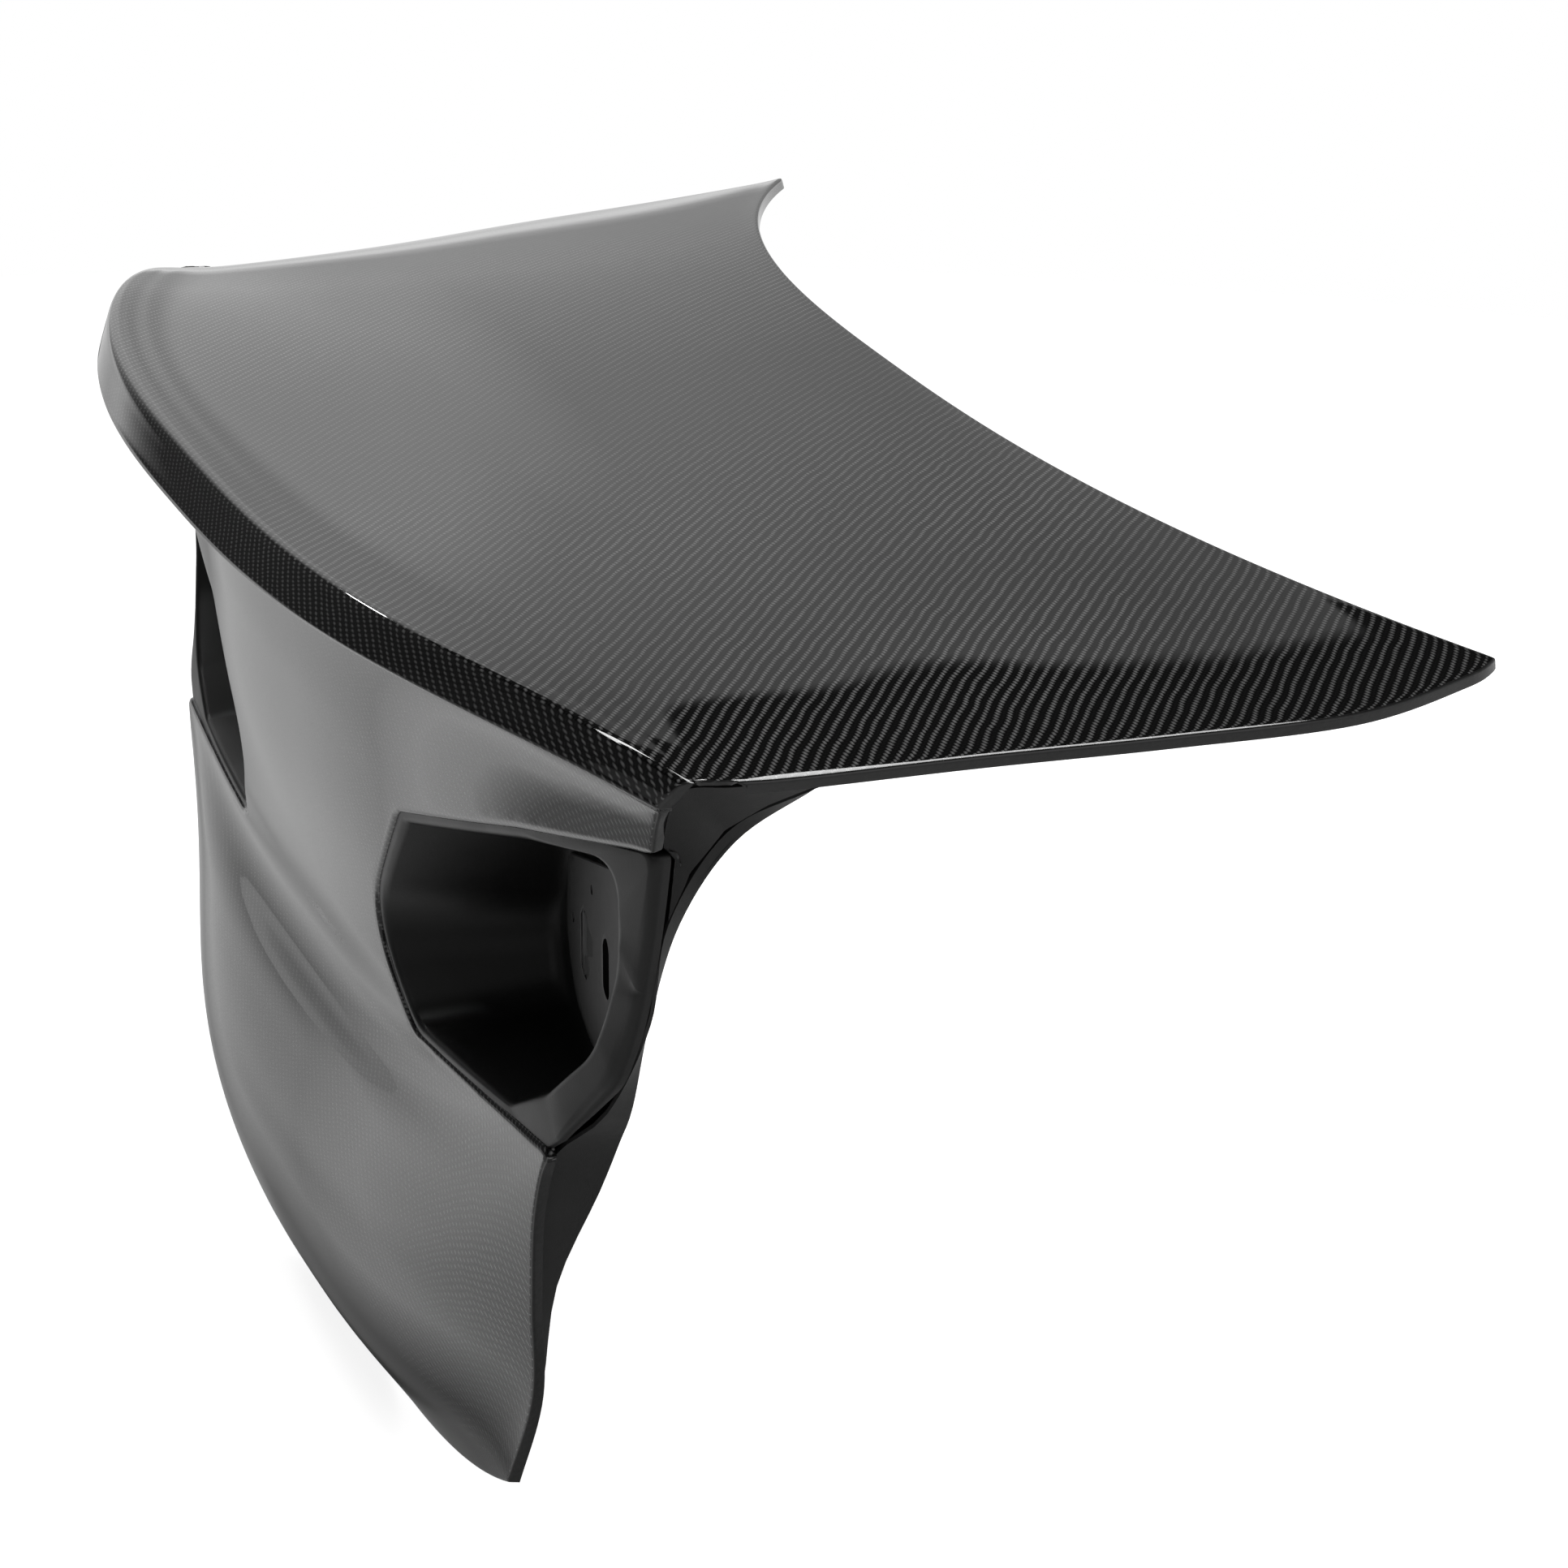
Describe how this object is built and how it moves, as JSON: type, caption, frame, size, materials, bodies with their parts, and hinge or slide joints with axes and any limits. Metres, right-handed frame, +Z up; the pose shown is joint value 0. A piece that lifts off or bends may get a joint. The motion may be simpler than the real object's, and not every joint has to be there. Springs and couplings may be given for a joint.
{
  "type": "car boot lid",
  "caption": "Carbon-fibre car boot lid with a ducktail trailing lip, wrap-around tail-lamp pockets, a ribbed inner frame and steel plates for its hinges and latch",
  "frame": {"origin": "On the centre plane, on the flat face that the latch is bolted to, between its bolt holes", "axes": "+X to the right of the car, +Y forward (from the rear panel towards the rear window), +Z up"},
  "size_m": [1.4088, 0.6966, 0.7143],
  "materials": {
    "outer_skin": "twill carbon fibre under gloss clear coat",
    "inner_frame": "satin black glass-fibre moulding",
    "lamp_pocket_right": "satin black glass-fibre moulding",
    "lamp_pocket_left": "satin black glass-fibre moulding",
    "corner_gusset_right": "satin black glass-fibre moulding",
    "corner_gusset_left": "satin black glass-fibre moulding",
    "hinge_plate_right": "zinc plated",
    "hinge_plate_left": "zinc plated",
    "hinge_nut_right_rear": "zinc plated",
    "hinge_nut_right_front": "zinc plated",
    "hinge_nut_left_rear": "zinc plated",
    "hinge_nut_left_front": "zinc plated",
    "latch_plate": "zinc plated",
    "latch_nut_left": "zinc plated",
    "latch_nut_right": "zinc plated",
    "latch_nut_lower": "zinc plated",
    "bead_side_right": "cured structural adhesive",
    "bead_side_left": "cured structural adhesive",
    "bead_front": "cured structural adhesive",
    "bead_cross_front": "cured structural adhesive",
    "bead_cross_rear": "cured structural adhesive"
  },
  "bodies": {
    "root": {"outer_skin": "outer_skin", "inner_frame": "inner_frame", "lamp_pocket_right": "lamp_pocket_right", "lamp_pocket_left": "lamp_pocket_left", "corner_gusset_right": "corner_gusset_right", "corner_gusset_left": "corner_gusset_left", "hinge_plate_right": "hinge_plate_right", "hinge_plate_left": "hinge_plate_left", "hinge_nut_right_rear": "hinge_nut_right_rear", "hinge_nut_right_front": "hinge_nut_right_front", "hinge_nut_left_rear": "hinge_nut_left_rear", "hinge_nut_left_front": "hinge_nut_left_front", "latch_plate": "latch_plate", "latch_nut_left": "latch_nut_left", "latch_nut_right": "latch_nut_right", "latch_nut_lower": "latch_nut_lower", "bead_side_right": "bead_side_right", "bead_side_left": "bead_side_left", "bead_front": "bead_front", "bead_cross_front": "bead_cross_front", "bead_cross_rear": "bead_cross_rear"}
  },
  "joints": []
}
